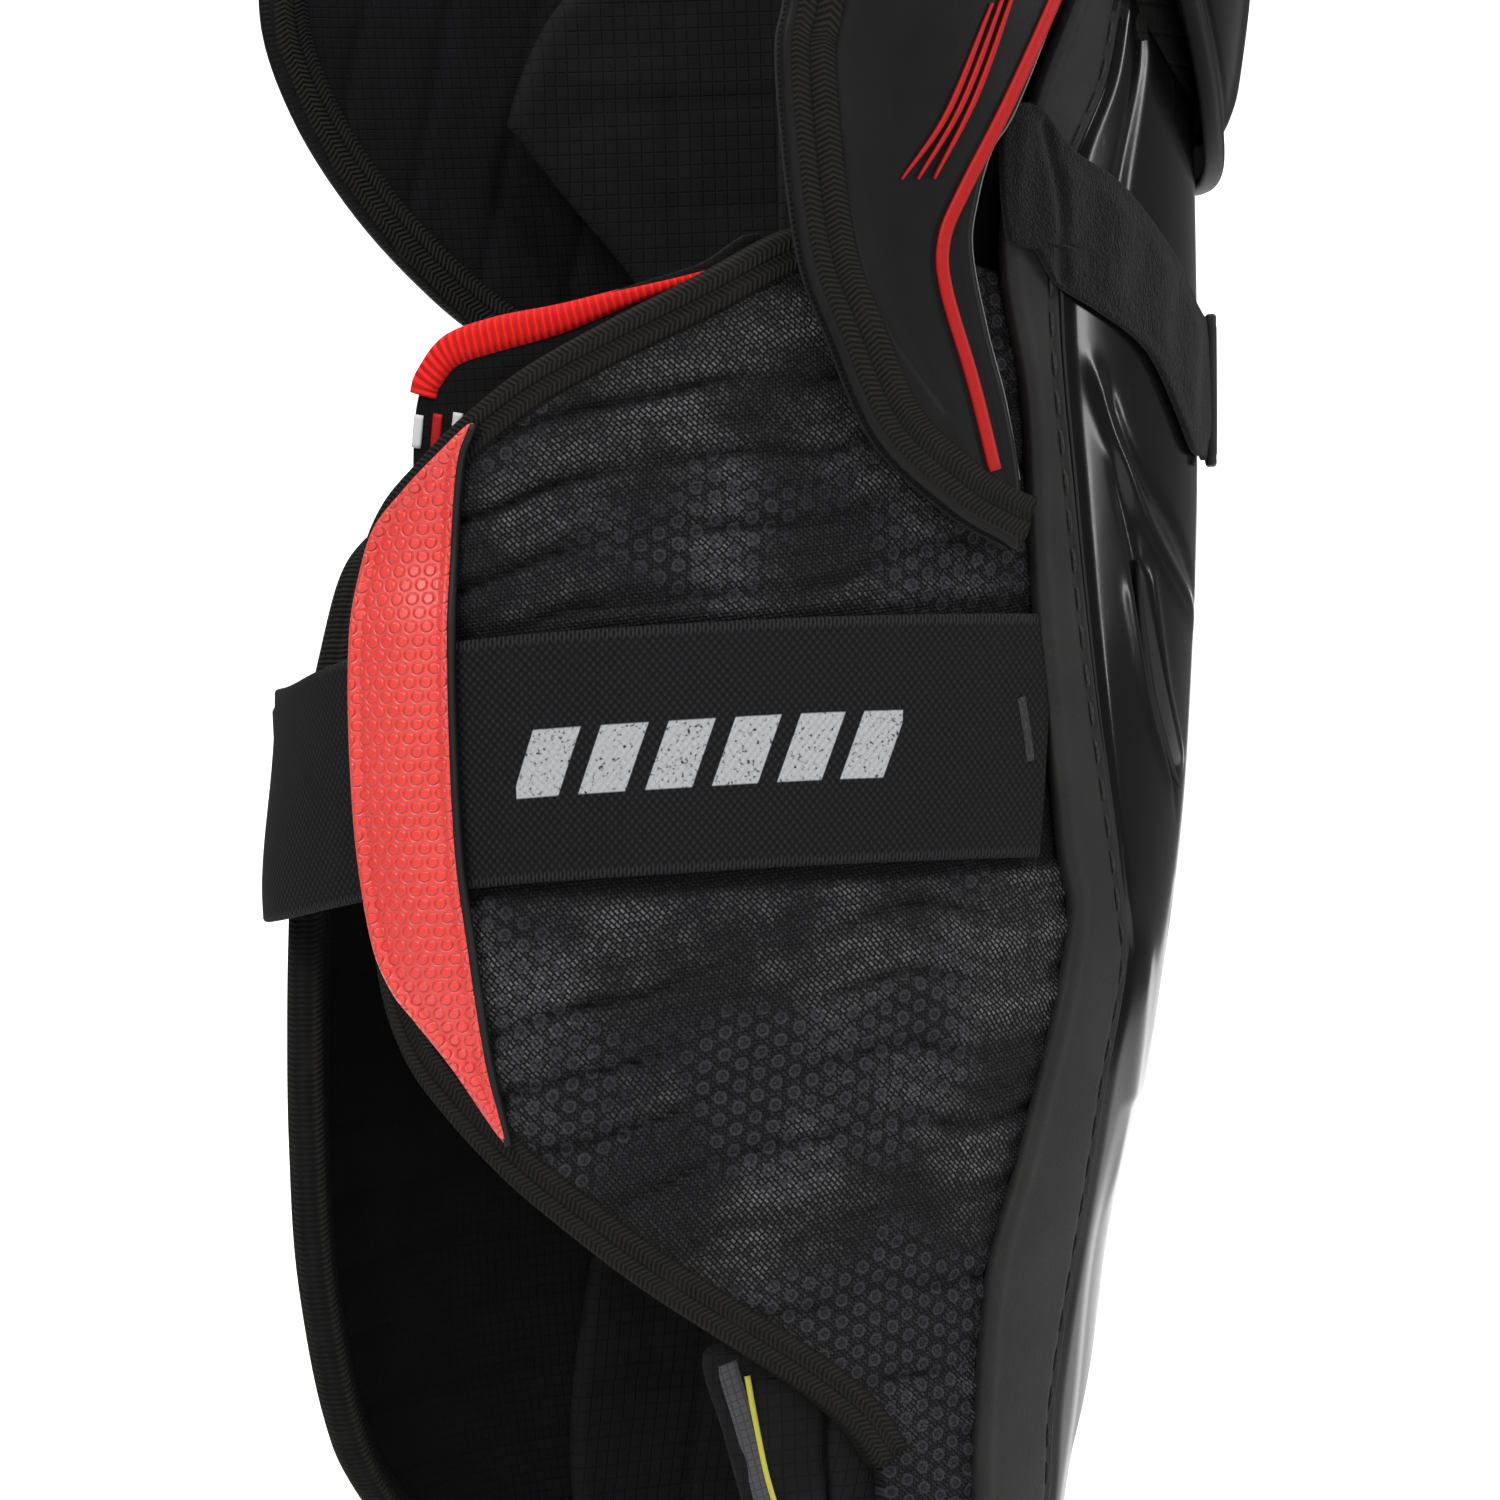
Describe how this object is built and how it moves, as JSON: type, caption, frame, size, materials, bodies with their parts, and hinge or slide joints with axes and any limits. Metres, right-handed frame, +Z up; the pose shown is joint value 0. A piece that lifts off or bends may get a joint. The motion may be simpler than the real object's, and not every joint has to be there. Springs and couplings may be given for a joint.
{
  "type": "ice hockey shin guard",
  "caption": "Ice hockey shin guard with a hard front shell, knee cup, thigh flap, hinged knee and calf wings and hook-and-loop straps.",
  "frame": {"origin": "on the leg's axis inside the guard, at mid-calf height", "axes": "+Z up the shin, -Y towards the front of the shin (hard shell), -X towards the outer (lateral) side of a right leg"},
  "size_m": [0.1706, 0.2243, 0.5141],
  "materials": {
    "gloss_shell": "polished, with moulded ridges",
    "matte_rim": "fine moulded grain",
    "matte_plate": "satin",
    "thread": "polyester thread",
    "foam": "closed-cell foam",
    "liner_knit": "brushed knit",
    "mesh": "warp-knit spacer mesh",
    "binding": "herringbone knit tape",
    "elastic": "woven elastic",
    "red_grip": "embossed synthetic leather",
    "red_piping": "ribbed knit tape",
    "loop_pile": "brushed loop pile",
    "tab": "moulded"
  },
  "bodies": {
    "guard_body": {"shin_shell": "gloss_shell", "shell_rim_lateral": "matte_rim", "rim_stitches_lateral": "thread", "shell_rim_medial": "matte_rim", "rim_stitches_medial": "thread", "shin_foam": "foam", "shin_liner": "liner_knit", "ankle_liner_flap": "liner_knit", "ankle_roll": "binding", "calf_front_panel_lateral": "mesh", "calf_front_panel_medial": "mesh", "calf_strap_front": "elastic", "knee_ring_pad": "liner_knit", "cup_hinge_web": "binding"},
    "knee_cup": {"knee_cup": "gloss_shell", "knee_cup_lip": "tab", "knee_cup_foam": "foam", "flap_hinge_web": "binding"},
    "thigh_flap": {"thigh_flap_foam": "liner_knit", "thigh_flap_plate": "gloss_shell", "thigh_flap_binding": "binding"},
    "lateral_knee_wing": {"knee_wing_foam_lateral": "foam", "knee_wing_plate_lateral": "matte_plate", "knee_wing_binding_lateral": "binding"},
    "medial_knee_wing": {"knee_wing_foam_medial": "foam", "knee_wing_plate_medial": "matte_plate", "knee_wing_binding_medial": "binding"},
    "lateral_calf_wing": {"calf_wing_pad_lateral": "mesh", "calf_wing_binding_lateral": "binding", "calf_strap_lateral": "elastic", "strap_keeper": "red_grip", "calf_lining_band": "liner_knit", "lining_band_piping": "red_piping"},
    "medial_calf_wing": {"calf_wing_pad_medial": "mesh", "calf_wing_binding_medial": "binding", "strap_landing_patch": "loop_pile"},
    "calf_strap_end": {"calf_strap_end": "elastic", "calf_strap_tab": "tab"},
    "knee_strap": {"knee_strap": "loop_pile", "knee_strap_tab": "tab"}
  },
  "joints": [
    {"name": "knee_cup_flex", "type": "hinge", "parent": "guard_body", "child": "knee_cup", "pos_m": [0, -0.10645, 0.116], "axis": [1, 0, 0], "range_deg": [0, 12], "stiffness_Nm_per_rad": 2},
    {"name": "thigh_flap_flex", "type": "hinge", "parent": "knee_cup", "child": "thigh_flap", "pos_m": [0, -0.10718, 0.2514], "axis": [1, 0, 0], "range_deg": [0, 35], "stiffness_Nm_per_rad": 0.6},
    {"name": "lateral_knee_wing_swing", "type": "hinge", "parent": "guard_body", "child": "lateral_knee_wing", "pos_m": [-0.07058, -0.049, 0.115], "axis": [0.0353, -0.196, 0.98], "range_deg": [0, 50], "stiffness_Nm_per_rad": 0.4},
    {"name": "medial_knee_wing_swing", "type": "hinge", "parent": "guard_body", "child": "medial_knee_wing", "pos_m": [0.07058, -0.049, 0.115], "axis": [0.0353, 0.196, -0.98], "range_deg": [0, 50], "stiffness_Nm_per_rad": 0.4},
    {"name": "lateral_calf_wing_swing", "type": "hinge", "parent": "guard_body", "child": "lateral_calf_wing", "pos_m": [-0.07075, 0.02, 0], "axis": [0, 0, 1], "range_deg": [0, 55], "stiffness_Nm_per_rad": 0.4},
    {"name": "medial_calf_wing_swing", "type": "hinge", "parent": "guard_body", "child": "medial_calf_wing", "pos_m": [0.07075, 0.02, 0], "axis": [0, 0, -1], "range_deg": [0, 55], "stiffness_Nm_per_rad": 0.4, "deforming": ["calf_strap_end", "calf_strap_tab"]},
    {"name": "calf_strap_peel", "type": "hinge", "parent": "lateral_calf_wing", "child": "calf_strap_end", "pos_m": [-0.03021, 0.10033, -0.005], "axis": [0, 0, 1], "range_deg": [0, 100]},
    {"name": "knee_strap_peel", "type": "hinge", "parent": "guard_body", "child": "knee_strap", "pos_m": [-0.07013, -0.0385, 0.113], "axis": [0, 0, -1], "range_deg": [0, 75]}
  ]
}
